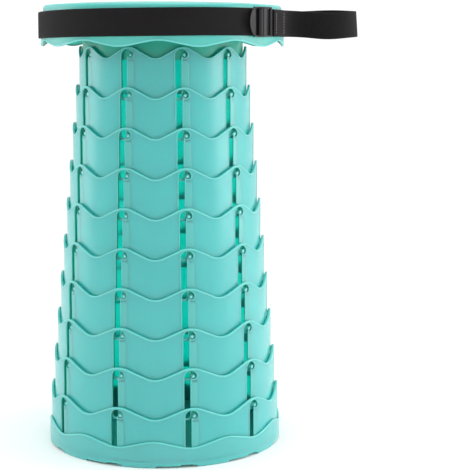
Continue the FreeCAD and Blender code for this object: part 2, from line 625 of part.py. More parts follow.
tail = new_body("belt_tail")
s = sketch_on(tail, "XY_Plane", "dims.belt_foot", name="tail_outline")
lift = D["tail_end"] + 7.0 - 90
strap_path(s, [
    (0, 0, rb, D["tail_start"] - 90, lift),
    ((rb + 18) * math.cos(math.radians(lift)), (rb + 18) * math.sin(math.radians(lift)), 18.0,
     lift + 180, lift + 220),
], D["strap_thick"])
pad(tail, s, "dims.strap_width", name="tail")

# ladder-lock buckle: frame with two windows, a half-moon thumb plate at one
# end and a ribbed bar across the middle
buckle = new_body("strap_buckle", "dims.buckle_turn")
s = sketch_on(buckle, "XZ_Plane", "dims.buckle_back", name="buckle_outline")
zc = D["belt_foot"] + D["strap_width"] / 2
hh, hl = D["buckle_height"] / 2, D["buckle_half_length"]
xl = -hl + 9.0
g = [
    Part.Arc(V(xl, zc + hh, 0), V(-hl, zc, 0), V(xl, zc - hh, 0)),
    Part.LineSegment(V(xl, zc - hh, 0), V(hl, zc - hh, 0)),
    Part.LineSegment(V(hl, zc - hh, 0), V(hl, zc + hh, 0)),
    Part.LineSegment(V(hl, zc + hh, 0), V(xl, zc + hh, 0)),
]
for xa, xb in ((-hl + 9.5, -hl + 14.0), (hl - 7.0, hl - 2.8)):
    za, zb = zc - hh + 1.6, zc + hh - 1.6
    g += [Part.LineSegment(V(xa, za, 0), V(xb, za, 0)), Part.LineSegment(V(xb, za, 0), V(xb, zb, 0)),
          Part.LineSegment(V(xb, zb, 0), V(xa, zb, 0)), Part.LineSegment(V(xa, zb, 0), V(xa, za, 0))]
s.addGeometry(g)
for i in range(len(g)):
    s.addConstraint(Sketcher.Constraint("Block", i))
pad(buckle, s, "dims.buckle_thick", name="buckle_frame")
v = volume(buckle)
s = sketch_on(buckle, "XZ_Plane", "dims.buckle_back + dims.buckle_thick", name="bar_outline")
g = []
for xa, xb in ((-hl + 14.2, -hl + 16.4), (-hl + 17.4, -hl + 19.6), (-hl + 20.6, hl - 7.3)):
    za, zb = zc - hh + 2.0, zc + hh - 2.0
    g += [Part.LineSegment(V(xa, za, 0), V(xb, za, 0)), Part.LineSegment(V(xb, za, 0), V(xb, zb, 0)),
          Part.LineSegment(V(xb, zb, 0), V(xa, zb, 0)), Part.LineSegment(V(xa, zb, 0), V(xa, za, 0))]
s.addGeometry(g)
for i in range(len(g)):
    s.addConstraint(Sketcher.Constraint("Block", i))
pad(buckle, s, "1.4", name="buckle_grip")
v = expect_more(v, buckle, "the buckle's ribs")

# stitches of pale thread that hold the folded strap end, as one named group
pieces = []
rt = D["layer_radius"] + D["strap_thick"] / 2 + D["thread_radius"] + 0.02
for a in (61.9, 72.4):
    for n in range(7):
        c = doc.addObject("Part::Cylinder", "stitch_%d_%d" % (int(a), n))
        c.setExpression("Radius", "dims.thread_radius")
        c.Height = 2.4
        c.Placement = FreeCAD.Placement(V(rt * math.sin(math.radians(a)), -rt * math.cos(math.radians(a)),
                                          D["belt_foot"] + 2.0 + 3.4 * n), ROT())
        pieces.append(c)
stitches = doc.addObject("Part::MultiFuse", "handle_stitching")
stitches.Label = "handle_stitching"
stitches.Shapes = pieces

# ------------------------------------------------------------------ hand over
doc.recompute()
NODES = [base, outer_tube] + rings + [core, lid, cap, screws, belt, handle, tail, buckle, stitches]
for obj in doc.Objects:
    for word in obj.State:
        if "Invalid" in word or "Error" in word:
            raise RuntimeError("%s is %s" % (obj.Name, word))
for obj in NODES:
    if obj.Shape.isNull() or not obj.Shape.isValid():
        raise RuntimeError(obj.Label + " has no valid shape")
    obj.Shape.exportStep("parts/%s.step" % obj.Label)
    bb = obj.Shape.BoundBox
    print("%-18s %9.0f mm3  z %.1f..%.1f  x %.1f..%.1f  solids %d" % (
        obj.Label, obj.Shape.Volume, bb.ZMin, bb.ZMax, bb.XMin, bb.XMax, len(obj.Shape.Solids)))
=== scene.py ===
import math
import random

import bpy
import bmesh
from mathutils import Matrix, Vector


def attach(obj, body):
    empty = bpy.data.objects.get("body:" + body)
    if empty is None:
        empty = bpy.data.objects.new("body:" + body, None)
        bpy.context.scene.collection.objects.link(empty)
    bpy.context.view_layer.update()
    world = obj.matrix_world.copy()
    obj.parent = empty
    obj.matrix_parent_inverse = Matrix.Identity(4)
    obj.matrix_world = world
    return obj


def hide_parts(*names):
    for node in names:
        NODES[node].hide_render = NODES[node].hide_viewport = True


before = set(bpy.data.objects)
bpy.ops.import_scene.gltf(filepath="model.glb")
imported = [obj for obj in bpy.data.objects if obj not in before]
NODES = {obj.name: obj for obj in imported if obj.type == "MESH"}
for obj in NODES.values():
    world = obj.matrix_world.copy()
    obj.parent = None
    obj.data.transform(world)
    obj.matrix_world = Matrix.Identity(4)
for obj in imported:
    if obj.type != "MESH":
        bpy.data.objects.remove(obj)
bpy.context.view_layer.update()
MM = 0.001
random.seed(7)


def rad(x):
    return math.radians(x)


# ------------------------------------------------------------------ materials
def srgb(r, g, b):
    out = []
    for c in (r, g, b):
        c = c / 255.0
        out.append(c / 12.92 if c <= 0.04045 else ((c + 0.055) / 1.055) ** 2.4)
    return (out[0], out[1], out[2], 1.0)


def node(nt, kind, x=0, y=0, **values):
    n = nt.nodes.new(kind)
    n.location = (x, y)
    for k, v in values.items():
        if hasattr(n, k):
            setattr(n, k, v)
        else:
            n.inputs[k].default_value = v
    return n


def new_material(name):
    m = bpy.data.materials.new(name)
    m.use_nodes = True
    nt = m.node_tree
    nt.nodes.clear()
    out = node(nt, "ShaderNodeOutputMaterial", 900, 0)
    bsdf = node(nt, "ShaderNodeBsdfPrincipled", 600, 0)
    nt.links.new(bsdf.outputs["BSDF"], out.inputs["Surface"])
    return m, nt, bsdf


def ramp(nt, a, b, pa=0.0, pb=1.0, x=0, y=0):
    r = node(nt, "ShaderNodeValToRGB", x, y)
    r.color_ramp.elements[0].position = pa
    r.color_ramp.elements[0].color = a
    r.color_ramp.elements[1].position = pb
    r.color_ramp.elements[1].color = b
    return r


def plastic(name, light, dark, rough=0.40, glow=0.10, grain=1.0, depth=0.009, spec=0.5, coat=0.0):
    """Satin moulded plastic: faint cloudiness in the colour, fine grain in the
    surface, a few soft scuffs in the roughness, and some light let through."""
    m, nt, bsdf = new_material(name)
    tc = node(nt, "ShaderNodeTexCoord", -900, 0)
    big = node(nt, "ShaderNodeTexNoise", -650, 250, Scale=14.0, Detail=2.0, Roughness=0.5)
    nt.links.new(tc.outputs["Object"], big.inputs["Vector"])
    cr = ramp(nt, dark, light, 0.30, 0.70, -350, 250)
    nt.links.new(big.outputs["Fac"], cr.inputs["Fac"])
    nt.links.new(cr.outputs["Color"], bsdf.inputs["Base Color"])
    scuff = node(nt, "ShaderNodeTexNoise", -650, -50, Scale=90.0, Detail=4.0, Roughness=0.6)
    nt.links.new(tc.outputs["Object"], scuff.inputs["Vector"])
    rr = node(nt, "ShaderNodeMapRange", -350, -50)
    rr.inputs["From Min"].default_value = 0.3
    rr.inputs["From Max"].default_value = 0.7
    rr.inputs["To Min"].default_value = rough - 0.05
    rr.inputs["To Max"].default_value = rough + 0.06
    nt.links.new(scuff.outputs["Fac"], rr.inputs["Value"])
    nt.links.new(rr.outputs["Result"], bsdf.inputs["Roughness"])
    fine = node(nt, "ShaderNodeTexNoise", -650, -350, Scale=1800.0, Detail=2.0, Roughness=0.5)
    nt.links.new(tc.outputs["Object"], fine.inputs["Vector"])
    soft = node(nt, "ShaderNodeTexNoise", -650, -600, Scale=60.0, Detail=1.0, Roughness=0.4)
    nt.links.new(tc.outputs["Object"], soft.inputs["Vector"])
    b1 = node(nt, "ShaderNodeBump", 50, -350, Strength=0.10 * grain, Distance=0.00012)
    nt.links.new(fine.outputs["Fac"], b1.inputs["Height"])
    b2 = node(nt, "ShaderNodeBump", 300, -350, Strength=0.12, Distance=0.0005)
    nt.links.new(soft.outputs["Fac"], b2.inputs["Height"])
    nt.links.new(b1.outputs["Normal"], b2.inputs["Normal"])
    nt.links.new(b2.outputs["Normal"], bsdf.inputs["Normal"])
    bsdf.inputs["IOR"].default_value = 1.49
    bsdf.inputs["Subsurface Weight"].default_value = glow
    bsdf.inputs["Subsurface Radius"].default_value = (0.15, 1.0, 0.80)
    bsdf.inputs["Subsurface Scale"].default_value = depth
    bsdf.inputs["Specular IOR Level"].default_value = spec
    bsdf.inputs["Coat Weight"].default_value = coat
    bsdf.inputs["Coat Roughness"].default_value = 0.22
    return m


MINT = plastic("mint_plastic", srgb(80, 193, 185), srgb(73, 188, 180), 0.36, 1.0, depth=0.010, spec=0.7, coat=0.35)
MINT_TUBE = plastic("mint_tube_plastic", srgb(65, 192, 184), srgb(59, 187, 179), 0.34, 1.0, depth=0.016, spec=0.7, coat=0.35)
# painted shade: the tube that hangs under the seat only sees light that came through plastic, so its copy of the
# plastic is a deeper, more saturated green
MINT_CORE_SHADE = plastic("mint_core_painted_shade", srgb(22, 168, 146), srgb(17, 162, 140), 0.38, 0.6, depth=0.010, spec=0.5, coat=0.1)
MINT_SEAT = plastic("mint_seat_plastic", srgb(74, 180, 173), srgb(68, 175, 168), 0.42, 1.0, 1.6, depth=0.010, spec=0.7, coat=0.2)
# the rounded rims and bosses are thin, so less light is lost sideways in them; this lighter copy of the plastic also
# paints a highlight along the lips
MINT_RIM_HIGHLIGHT = plastic("mint_rim_painted_highlight", srgb(98, 202, 196), srgb(90, 197, 191), 0.34, 0.30, depth=0.0015, spec=0.7)
# darker copy of the rim plastic: painted shade on ring 1's lip under the seat; on the slot rims it matches the walls
MINT_NEAR = plastic("mint_trim_plastic", srgb(80, 187, 181), srgb(74, 182, 176), 0.36, 0.35, depth=0.0015, spec=0.8)
MINT_SKIN = plastic("mint_cheek_plastic", srgb(69, 174, 169), srgb(65, 170, 165), 0.34, 0.0, spec=0.7, coat=0.35)
# painted light: the lug heads sit in the shaded pockets of the hooks, and this much lighter copy paints them as lit
MINT_LUG_LIT = plastic("mint_lug_painted_light", srgb(112, 224, 215), srgb(106, 219, 210), 0.34, 0.0, spec=0.8)
# painted shade: a deep saturated green for thin sheets in the slots and round the lugs, standing in for the shade
# seen there
MINT_SHADE = plastic("mint_painted_shade", srgb(16, 170, 144), srgb(12, 164, 138), 0.42, 0.0, spec=0.4)
BLACK = plastic("black_plastic", srgb(26, 25, 28), srgb(20, 19, 22), 0.36, 0.0, 1.4, spec=0.35)


def steel(name):
    m, nt, bsdf = new_material(name)
    tc = node(nt, "ShaderNodeTexCoord", -900, 0)
    mp = node(nt, "ShaderNodeMapping", -700, 0)
    mp.inputs["Scale"].default_value = (1.0, 1.0, 9.0)
    nz = node(nt, "ShaderNodeTexNoise", -450, 0, Scale=400.0, Detail=3.0)
    nt.links.new(tc.outputs["Object"], mp.inputs["Vector"])
    nt.links.new(mp.outputs["Vector"], nz.inputs["Vector"])
    cr = ramp(nt, (0.42, 0.42, 0.43, 1), (0.58, 0.58, 0.60, 1), 0.3, 0.7, -200, 100)
    nt.links.new(nz.outputs["Fac"], cr.inputs["Fac"])
    nt.links.new(cr.outputs["Color"], bsdf.inputs["Base Color"])
    bsdf.inputs["Metallic"].default_value = 1.0
    bsdf.inputs["Roughness"].default_value = 0.35
    return m


STEEL = steel("zinc_steel")


def webbing(name, light, dark):
    """Charcoal polypropylene webbing; the weave's ribs are in the mesh, the
    yarns' cross grain is in the bump."""
    m, nt, bsdf = new_material(name)
    uv = node(nt, "ShaderNodeUVMap", -1100, 0)
    uv.uv_map = "weave"
    # u runs along the strap in millimetres, v across it
    sep = node(nt, "ShaderNodeSeparateXYZ", -900, 0)
    nt.links.new(uv.outputs["UV"], sep.inputs["Vector"])

    def wave(src, scale, phase=0.0, y=0):
        mul = node(nt, "ShaderNodeMath", -700, y, operation="MULTIPLY")
        mul.inputs[1].default_value = scale * 2 * math.pi
        nt.links.new(src, mul.inputs[0])
        add = node(nt, "ShaderNodeMath", -560, y, operation="ADD")
        add.inputs[1].default_value = phase
        nt.links.new(mul.outputs[0], add.inputs[0])
        sn = node(nt, "ShaderNodeMath", -420, y, operation="SINE")
        nt.links.new(add.outputs[0], sn.inputs[0])
        return sn.outputs[0]

    a = wave(sep.outputs["X"], 1.0 / 1.55, 0.0, 200)
    b = wave(sep.outputs["Y"], 1.0 / 0.95, 0.0, 0)
    prod = node(nt, "ShaderNodeMath", -240, 100, operation="MULTIPLY")
    nt.links.new(a, prod.inputs[0])
    nt.links.new(b, prod.inputs[1])
    tc = node(nt, "ShaderNodeTexCoord", -900, -400)
    nz = node(nt, "ShaderNodeTexNoise", -650, -400, Scale=1500.0, Detail=3.0, Roughness=0.7)
    nt.links.new(tc.outputs["Object"], nz.inputs["Vector"])
    cloud = node(nt, "ShaderNodeTexNoise", -650, -650, Scale=45.0, Detail=3.0, Roughness=0.6)
    nt.links.new(tc.outputs["Object"], cloud.inputs["Vector"])
    mix = node(nt, "ShaderNodeMath", -60, 60, operation="ADD")
    half = node(nt, "ShaderNodeMath", -240, -80, operation="MULTIPLY")
    half.inputs[1].default_value = 0.9
    nt.links.new(nz.outputs["Fac"], half.inputs[0])
    nt.links.new(prod.outputs[0], mix.inputs[0])
    nt.links.new(half.outputs[0], mix.inputs[1])
    cl = node(nt, "ShaderNodeMath", 60, -60, operation="ADD")
    c2 = node(nt, "ShaderNodeMath", -60, -260, operation="MULTIPLY")
    c2.inputs[1].default_value = 0.8
    nt.links.new(cloud.outputs["Fac"], c2.inputs[0])
    nt.links.new(mix.outputs[0], cl.inputs[0])
    nt.links.new(c2.outputs[0], cl.inputs[1])
    cr = ramp(nt, dark, light, 0.05, 1.0, 180, 160)
    mr = node(nt, "ShaderNodeMapRange", 60, 240)
    mr.inputs["From Min"].default_value = -0.6
    mr.inputs["From Max"].default_value = 2.0
    nt.links.new(cl.outputs[0], mr.inputs["Value"])
    nt.links.new(mr.outputs["Result"], cr.inputs["Fac"])
    nt.links.new(cr.outputs["Color"], bsdf.inputs["Base Color"])
    bp = node(nt, "ShaderNodeBump", 300, -200, Strength=0.6, Distance=0.00018)
    nt.links.new(mix.outputs[0], bp.inputs["Height"])
    nt.links.new(bp.outputs["Normal"], bsdf.inputs["Normal"])
    bsdf.inputs["Roughness"].default_value = 0.80
    bsdf.inputs["Specular IOR Level"].default_value = 0.12
    bsdf.inputs["Sheen Weight"].default_value = 0.06
    bsdf.inputs["Sheen Roughness"].default_value = 0.5
    return m


WEB = webbing("charcoal_webbing", srgb(33, 31, 33), srgb(6, 5, 6))
THREAD = webbing("grey_thread", srgb(160, 148, 152), srgb(104, 96, 100))
THREAD_DARK = webbing("charcoal_thread", srgb(66, 60, 63), srgb(36, 33, 35))

for name, obj in NODES.items():
    if name in ("seat_lid", "centre_cap"):
        mat = MINT_SEAT
    elif name == "base_shell":
        mat = MINT
    elif name in ("lid_screws",):
        mat = STEEL
    elif name in ("belt_webbing", "carry_handle", "belt_tail"):
        mat = WEB
    elif name == "strap_buckle":
        mat = BLACK
    elif name == "handle_stitching":
        mat = THREAD
    else:
        # the core tube gets the painted shade of the space under the seat
        mat = MINT_CORE_SHADE if name == "core_tube" else MINT_TUBE
    obj.data.materials.clear()
    obj.data.materials.append(mat)


# ------------------------------------------------------------------ meshes
def make_object(name, verts, faces, mat, smooth=True, uv=None):
    me = bpy.data.meshes.new(name)
    me.from_pydata([tuple(v) for v in verts], [], faces)
    if uv is not None:
        layer = me.uv_layers.new(name="weave")
        for poly in me.polygons:
            for li in poly.loop_indices:
                layer.data[li].uv = uv[me.loops[li].vertex_index]
    me.materials.append(mat)
    me.validate()
    me.update()
    ob = bpy.data.objects.new(name, me)
    bpy.context.scene.collection.objects.link(ob)
    if smooth:
        for p in me.polygons:
            p.use_smooth = True
    return ob


def fix_normals(ob):
    bm = bmesh.new()
    bm.from_mesh(ob.data)
    bmesh.ops.recalc_face_normals(bm, faces=bm.faces)
    bm.to_mesh(ob.data)
    bm.free()


def polar(r, a, z):
    """Point at radius r, angle a in degrees from the front towards +X."""
    t = rad(a)
    return Vector((r * math.sin(t), -r * math.cos(t), z))


WAVES = 10
STEP_A = 360.0 / WAVES


def wave_arc(radius, half_height):
    """Radius of the arcs in a wavy edge on a wall of that radius."""
    w = radius * math.sin(math.pi / WAVES)
    h = 2 * half_height
    return 0.75 * (w * w + h * h) / (4 * h)


def wave_height(x, half_width, mid, half_height, arc, flip=1.0):
    """Height of the wavy edge: trough at x = 0, crest at x = +-half_width."""
    lo, hi = 0.01, 1.2
    for _ in range(50):
        t = 0.5 * (lo + hi)
        run = half_width - 2 * arc * math.sin(t)
        rise = 2 * half_height - 2 * arc * (1 - math.cos(t))
        if run > 0 and rise > math.tan(t) * run:
            lo = t
        else:
            hi = t
    t = 0.5 * (lo + hi)
    sx, sz = arc * math.sin(t), arc * (1 - math.cos(t))
    x = min(abs(x), half_width)
    if x < sx:
        z = -half_height + arc - math.sqrt(arc * arc - x * x)
    elif x > half_width - sx:
        d = half_width - x
        z = half_height - arc + math.sqrt(arc * arc - d * d)
    else:
        z = -half_height + sz + (x - sx) * math.tan(t)
    return mid + flip * z


def edge_path(radius, mid, half_height, trough, flip=1.0, steps=720):
    """The wavy edge on the outer wall, all the way round (millimetres)."""
    half_width = radius * math.sin(rad(STEP_A / 2))
    arc = wave_arc(radius, half_height)
    pts = []
    for i in range(steps):
        a = 360.0 * i / steps
        d = (a - trough + STEP_A / 2) % STEP_A - STEP_A / 2
        x = radius * math.sin(rad(d))
        pts.append((a, wave_height(x, half_width, mid, half_height, arc, flip)))
    return [polar(radius, a, z) for a, z in pts], [a for a, z in pts]


def sweep_rings(path, outs, profile, closed=True, twist=None):
    """Sweeps a closed profile along a path. outs gives the outward direction
    at each point; the profile's x is along it and its y along the binormal."""
    n = len(path)
    m = len(profile)
    verts, faces = [], []
    for i in range(n):
        if closed:
            t = (path[(i + 1) % n] - path[i - 1]).normalized()
        else:
            t = (path[min(i + 1, n - 1)] - path[max(i - 1, 0)]).normalized()
        o = outs[i]
        o = (o - t * o.dot(t)).normalized()
        b = t.cross(o)
        if b.z < 0 and twist is None:
            b = -b
        for (x, y) in profile:
            verts.append((path[i] + o * x + b * y) * MM)
    last = n if closed else n - 1
    for i in range(last):
        j = (i + 1) % n
        for k in range(m):
            l = (k + 1) % m
            faces.append((i * m + k, j * m + k, j * m + l, i * m + l))
    if not closed:
        faces.append(tuple(range(m)))
        faces.append(tuple((n - 1) * m + k for k in range(m))[::-1])
    return verts, faces


def bead(name, body, radius, mid, half, trough, wall, flip=1.0, mat=None, steps=720, out=0.20, rise=0.22, deep=1.6):
    """A rounded lip along a wavy edge: it swells gently out of the wall, turns
    over the edge and goes a little way down the inside."""
    path, angles = edge_path(radius, mid, half, trough, flip, steps)
    outs = [polar(1.0, a, 0.0) for a in angles]
    s = flip
    w = wall
    prof = [(-0.35, -deep * s), (-0.03, -(deep - 0.1) * s), (out * 0.30, -deep * 0.72 * s), (out * 0.80, -deep * 0.46 * s),
            (out, -deep * 0.28 * s), (out * 0.85, -0.38 * s), (out * 0.25, -0.02 * s), (-0.28, rise * 0.80 * s),
            (-0.62, rise * s), (-w * 0.62, rise * 0.98 * s), (-w + 0.32, rise * 0.60 * s), (-w + 0.04, 0.02 * s),
            (-w - 0.03, -0.5 * s), (-w + 0.45, -0.8 * s)]
    verts, faces = sweep_rings(path, outs, prof, True)
    ob = make_object(name, verts, faces, mat)
    fix_normals(ob)
    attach(ob, body)
    return ob


# ------------------------------------------------------------------ the tubes
FIRST_R, PITCH_R, WALL = 84.85, 3.69, 2.2
TOP_MID, STEP = 400.4, 38.6
TURN = 14.45
WAVE_HALF, WAVE_LOW = 5.36, 31.45
CORE_R, CORE_FOOT = 81.15, 393.3


def hook_outline(zm):
    """Outline of a hook slot on the unrolled wall: x along the arc, z up."""
    hr, hd, al, ad, sw = 3.1, 2.1, 3.1, 3.0, 3.05
    ar = math.hypot(al, ad - hd) + hr
    tang = math.atan2(ad - hd, al)
    left = -al - ar
    right = left + 2 * sw
    foot = zm - 40.9
    pts = []
    for i in range(17):
        t = tang + (math.pi - tang) * i / 16
        pts.append((-al + ar * math.cos(t), zm - ad + ar * math.sin(t)))
    for i in range(1, 24):
        pts.append((left, zm - ad + (foot - zm + ad) * i / 24))
    for i in range(11):
        t = math.pi + math.pi * i / 10
        pts.append((left + sw + sw * math.cos(t), foot + sw * math.sin(t)))
    end = rad(-150)
    pe = (hr * math.cos(end), zm - hd + hr * math.sin(end))
    nub = (right, pe[1] - 0.9)
    for i in range(1, 24):
        pts.append((right, foot + (nub[1] - foot) * i / 24))
    pts.append(nub)
    for i in range(14):
        t = end + (tang - end) * i / 14
        pts.append((hr * math.cos(t), zm - hd + hr * math.sin(t)))
    return pts


def tube_trim(name, body, k, lowest=None):
    """Rounded rims round every hook slot."""
    ro = FIRST_R + (k - 1) * PITCH_R
    zm = TOP_MID - (k - 1) * STEP
    verts, faces = [], []
    prof = [(-0.80, 0.10), (-0.75, -0.03), (-0.06, -0.03), (0.10, 0.10), (0.17, 0.36), (0.15, 0.66), (0.08, 0.98),
            (-0.03, 1.30), (-0.30, 1.15)]
    m = len(prof)
    base = hook_outline(zm)
    if lowest is not None:
        base = [(x, max(z, lowest)) for x, z in base]
    n = len(base)
    for c in range(WAVES):
        crest = TURN + STEP_A * c
        start = len(verts)
        for i in range(n):
            x, z = base[i]
            (x0, z0), (x1, z1) = base[i - 1], base[(i + 1) % n]
            tx, tz = x1 - x0, z1 - z0
            l = math.hypot(tx, tz) or 1.0
            # side away from the opening
            nx, nz = tz / l, -tx / l
            for (h, side) in prof:
                xx = x + nx * side
                zz = z + nz * side
                a = crest + math.degrees(math.asin(xx / ro))
                verts.append(polar(ro + h, a, zz) * MM)
        for i in range(n):
            j = (i + 1) % n
            for q in range(m):
                r = (q + 1) % m
                faces.append((start + i * m + q, start + j * m + q, start + j * m + r, start + i * m + r))
    ob = make_object(name, verts, faces, MINT_NEAR)
    fix_normals(ob)
    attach(ob, body)
    return ob


def slot_shade_liner(name, body, k):
    """Thin sheets of painted shade, a deep saturated green, on the cut faces of every hook slot.  Under the hook the
    liner is shallow, so the lug below it stays free to slide."""
    ro = FIRST_R + (k - 1) * PITCH_R
    zm = TOP_MID - (k - 1) * STEP
    base = hook_outline(zm)
    n = len(base)
    zc = max(z for x, z in base) - 3.1
    verts, faces = [], []
    for c in range(WAVES):
        crest = TURN + STEP_A * c
        start = len(verts)
        for i in range(n):
            x, z = base[i]
            (x0, z0), (x1, z1) = base[i - 1], base[(i + 1) % n]
            tx, tz = x1 - x0, z1 - z0
            l = math.hypot(tx, tz) or 1.0
            nx, nz = tz / l, -tx / l
            deep = -2.05 if (x < -3.7 or z > zc) else -0.58
            for (h, side) in ((-0.16, 0.04), (-0.16, -0.08), (deep, -0.08), (deep, 0.04)):
                a = crest + math.degrees(math.asin((x + nx * side) / ro))
                verts.append(polar(ro + h, a, z + nz * side) * MM)
        for i in range(n):
            j = (i + 1) % n
            for q in range(4):
                r = (q + 1) % 4
                faces.append((start + i * 4 + q, start + j * 4 + q, start + j * 4 + r, start + i * 4 + r))
    ob = make_object(name, verts, faces, MINT_SHADE)
    fix_normals(ob)
    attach(ob, body)
    return ob


def lug_shade_collars(name, body, k):
    """Flat shoulder round the foot of every lug, drawn up above it: painted shade for the gap round the lug and under
    the hook's arch.
    """
    ro = (FIRST_R + (k - 1) * PITCH_R) if k > 0 else CORE_R
    zf = (TOP_MID - (k - 1) * STEP - 45.7 + 4.3) if k > 0 else CORE_FOOT + 4.3
    seg = 32
    prof = [(1.9, 0.14), (2.95, 0.14), (3.15, 0.05), (3.15, -0.3), (1.9, -0.3)]
    verts, faces = [], []
    m = len(prof)
    for c in range(WAVES):
        crest = TURN + STEP_A * c
        start = len(verts)
        for s in range(seg):
            t = 2 * math.pi * s / seg
            for (r, h) in prof:
                rise = 1.0 if (math.sin(t) < 0 or r < 2.0) else 1.62
                verts.append(polar(ro + h, crest + math.degrees(math.asin(r * math.cos(t) / ro)), zf + rise * r * math.sin(t)) * MM)
        for s in range(seg):
            u = (s + 1) % seg
            for q in range(m):
                r = (q + 1) % m
                faces.append((start + s * m + q, start + s * m + r, start + u * m + r, start + u * m + q))
    ob = make_object(name, verts, faces, MINT_SHADE)
    fix_normals(ob)
    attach(ob, body)
    return ob


def slot_cheeks(name, body, k):
    """The low flat swelling down the wall on the right of every slot."""
    ro = FIRST_R + (k - 1) * PITCH_R
    zm = TOP_MID - (k - 1) * STEP
    across = [(-3.22, -0.5), (-3.22, 0.03), (-2.9, 0.10), (-1.8, 0.13), (0.0, 0.14), (1.8, 0.13), (2.9, 0.10), (3.7, 0.04), (4.4, -0.05),
              (4.4, -0.5)]
    verts, faces = [], []
    m = len(across)
    z_hi, z_lo = zm - 7.2, zm - 36.0
    rows = 30
    for c in range(WAVES):
        crest = TURN + STEP_A * c
        start = len(verts)
        for i in range(rows):
            z = z_hi + (z_lo - z_hi) * i / (rows - 1)
            f = min(1.0, (z_hi - z) / 2.5)
            for (x, h) in across:
                hh = h if h < 0 else -0.08 + (h + 0.08) * f
                verts.append(polar(ro + hh, crest + math.degrees(math.asin(x / ro)), z) * MM)
        for i in range(rows - 1):
            for j in range(m):
                l = (j + 1) % m
                faces.append((start + i * m + j, start + i * m + l, start + (i + 1) * m + l, start + (i + 1) * m + j))
        faces.append(tuple(start + j for j in range(m))[::-1])
        faces.append(tuple(start + (rows - 1) * m + j for j in range(m)))
    ob = make_object(name, verts, faces, MINT_SKIN)
    fix_normals(ob)
    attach(ob, body)
    return ob


def lug_faces(name, body, k):
    """Domed heads of the lugs that show in the hooks of the next tube, in a lighter plastic: painted light on the
    heads in the shaded pockets.
    """
    ro = (FIRST_R + (k - 1) * PITCH_R) if k > 0 else CORE_R
    zf = (TOP_MID - (k - 1) * STEP - 45.7 + 4.3) if k > 0 else CORE_FOOT + 4.3
    verts, faces = [], []
    seg = 28
    prof = [(2.7, 0.0), (2.69, 1.0), (2.62, 1.55), (2.46, 1.92), (2.22, 2.13), (1.7, 2.22), (-0.4, 2.23)]
    for c in range(WAVES):
        crest = TURN + STEP_A * c
        out = polar(1.0, crest, 0.0)
        tan = Vector((-out.y, out.x, 0.0))
        o = polar(ro, crest, zf)
        start = len(verts)
        verts.append((o + out * (prof[0][0] + 0.02)) * MM)
        for (h, r) in prof[1:]:
            for s in range(seg):
                t = 2 * math.pi * s / seg
                verts.append((o + out * (h + 0.02) + tan * (r * math.cos(t)) + Vector((0, 0, r * math.sin(t)))) * MM)
        for s in range(seg):
            faces.append((start, start + 1 + s, start + 1 + (s + 1) % seg))
        for ring in range(len(prof) - 2):
            b0 = start + 1 + ring * seg
            for s in range(seg):
                faces.append((b0 + s, b0 + seg + s, b0 + seg + (s + 1) % seg, b0 + (s + 1) % seg))
        b0 = start + 1 + (len(prof) - 2) * seg
        faces.append(tuple(b0 + s for s in range(seg))[::-1])
    ob = make_object(name, verts, faces, MINT_LUG_LIT)
    fix_normals(ob)
    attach(ob, body)
    return ob


for k in range(1, 11):
    ro = FIRST_R + (k - 1) * PITCH_R
    zm = TOP_MID - (k - 1) * STEP
    body = "base" if k == 10 else "ring_%02d_body" % k
    tag = "outer_tube" if k == 10 else "ring_%02d" % k
    # ring 1's lip sits under the seat and gets the darker trim plastic as painted shade; the other lips get the rim
    # plastic's painted highlight
    bead(tag + "_lip", body, ro, zm, WAVE_HALF, WAVE_LOW, WALL, mat=MINT_NEAR if k == 1 else MINT_RIM_HIGHLIGHT)
    tube_trim(tag + "_slot_lips", body, k)
    slot_cheeks(tag + "_slot_cheeks", body, k)
    # the slot liners and lug collars are painted shade, the lug heads painted light
    slot_shade_liner(tag + "_slot_shade_liner", body, k)
    if k < 10:
        lug_faces(tag + "_lug_heads", body, k)
        lug_shade_collars(tag + "_lug_shade_collars", body, k)
lug_faces("core_lug_heads", "seat", 0)
lug_shade_collars("core_lug_shade_collars", "seat", 0)

# the band's and the skirt's lips also carry the rim plastic's painted highlight
bead("base_band_lip", "base", 120.2, 22.96, 3.35, 12.9, 1.7, mat=MINT_RIM_HIGHLIGHT, out=0.22)
bead("skirt_lip", "seat", 122.8, 408.8, 2.88, -1.6, 2.1, flip=-1.0, mat=MINT_RIM_HIGHLIGHT, out=0.22)


# ------------------------------------------------------------------ the straps
STRAP_W, STRAP_T, RIB = 26.2, 1.35, 1.55


